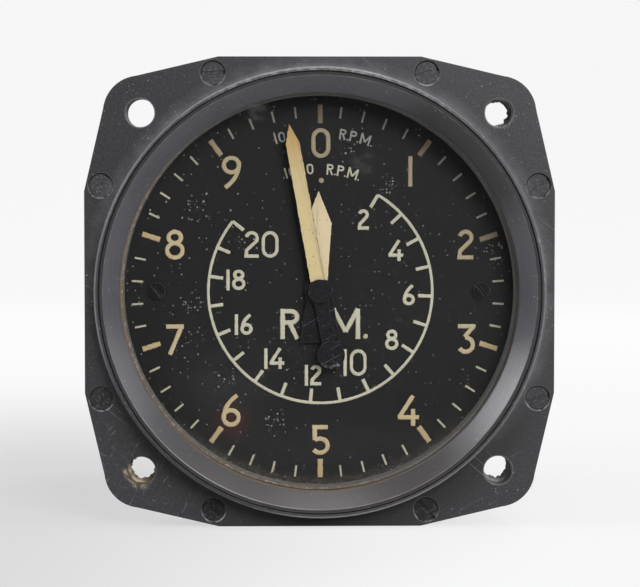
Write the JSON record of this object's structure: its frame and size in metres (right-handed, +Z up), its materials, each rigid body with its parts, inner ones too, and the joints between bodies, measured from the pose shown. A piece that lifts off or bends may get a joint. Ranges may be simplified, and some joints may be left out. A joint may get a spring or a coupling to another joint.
{
  "type": "panel tachometer",
  "caption": "Square-flanged round-dial panel tachometer with a long and a short pointer geared together, a drag-cup movement and motor in a cylindrical case, and rear terminals.",
  "frame": {"origin": "on the instrument's axis, at the flange's front face, which seats against the panel", "axes": "+Y runs to the rear along the axis, so the dial faces -Y; +Z is up with the zero mark at the top, +X is right seen from the front"},
  "size_m": [0.0826, 0.1122, 0.0826],
  "materials": {
    "black_paint": "satin, scratched",
    "satin_black": "satin",
    "grey_paint": "matt",
    "brown_seal": "aged",
    "dark_seal": "matt",
    "glass": "polished, dusty",
    "dial_black": "matt, printed",
    "pointer_paint": "aged luminous paint and black",
    "brass": "machined",
    "bronze": "turned",
    "jewel": "polished",
    "steel": "machined",
    "aluminium": "turned",
    "core_iron": "laminated",
    "magnet": "ground",
    "copper": "enamelled",
    "moulding": "moulded",
    "lead_sleeve": "sleeved"
  },
  "bodies": {
    "housing": {"bezel": "black_paint", "glass_ring": "satin_black", "front_glass_seal": "brown_seal", "cover_glass": "glass", "rear_glass_seal": "dark_seal", "dial_surround": "grey_paint", "bezel_screws": "black_paint", "case_gasket": "dark_seal", "captive_nuts": "brass", "case": "black_paint", "dial": "dial_black", "dial_posts": "brass", "dial_screws": "satin_black", "front_plate": "brass", "pipe_bush": "bronze", "middle_plate": "brass", "rear_plate": "brass", "jewels": "jewel", "lay_bushes": "bronze", "front_pillars": "brass", "mid_pillars": "brass", "rear_pillars": "brass", "frame_bolts": "steel", "hairspring_stud": "brass", "motor_front_plate": "aluminium", "motor_rear_plate": "aluminium", "motor_shell": "aluminium", "stator_core": "core_iron", "stator_windings": "copper", "motor_bushes": "bronze", "motor_bolts": "steel", "mounting_pillars": "brass", "rear_screws": "steel", "terminal_block": "moulding", "terminal_studs": "brass", "terminal_nuts": "brass", "block_screws": "steel", "motor_leads": "lead_sleeve"},
    "rotor": {"motor_shaft": "steel", "rotor_core": "core_iron", "rotor_magnet": "magnet", "drag_magnet": "magnet", "flux_drum": "core_iron"},
    "drag_element": {"drag_cup": "copper", "drag_spindle": "steel", "main_wheel": "brass", "hairspring_collet": "brass", "hairspring": "bronze"},
    "layshaft": {"lay_arbor": "steel", "lay_pinion": "steel", "lay_wheel": "brass"},
    "long_hand": {"long_arbor": "steel", "centre_pinion": "steel", "long_pointer": "pointer_paint", "long_pointer_hub": "satin_black"},
    "short_hand": {"pointer_pipe": "steel", "pipe_wheel": "brass", "short_pointer": "pointer_paint", "short_pointer_hub": "satin_black"}
  },
  "joints": [
    {"name": "rotor_spin", "type": "hinge", "parent": "housing", "child": "rotor", "pos_m": [0, 0.06, 0], "axis": [0, 1, 0], "continuous": true},
    {"name": "drag_turn", "type": "hinge", "parent": "housing", "child": "drag_element", "pos_m": [0, 0.025, 0], "axis": [0, 1, 0], "range_deg": [0, 309.01], "stiffness_Nm_per_rad": 0.00002, "springref_deg": -20.05, "deforming": ["hairspring"]},
    {"name": "lay_turn", "type": "hinge", "parent": "housing", "child": "layshaft", "pos_m": [0, 0.018, -0.0126], "axis": [0, 1, 0], "range_deg": [-1545.06, 0]},
    {"name": "long_turn", "type": "hinge", "parent": "housing", "child": "long_hand", "pos_m": [0, 0.01, 0], "axis": [0, 1, 0], "range_deg": [0, 7210.3]},
    {"name": "short_turn", "type": "hinge", "parent": "housing", "child": "short_hand", "pos_m": [0, 0.009, 0], "axis": [0, 1, 0], "range_deg": [0, 309.01]}
  ],
  "couplings": [
    {"joint": "lay_turn", "follows": "drag_turn", "ratio": -5},
    {"joint": "long_turn", "follows": "drag_turn", "ratio": 23.333},
    {"joint": "short_turn", "follows": "drag_turn", "ratio": 1}
  ]
}
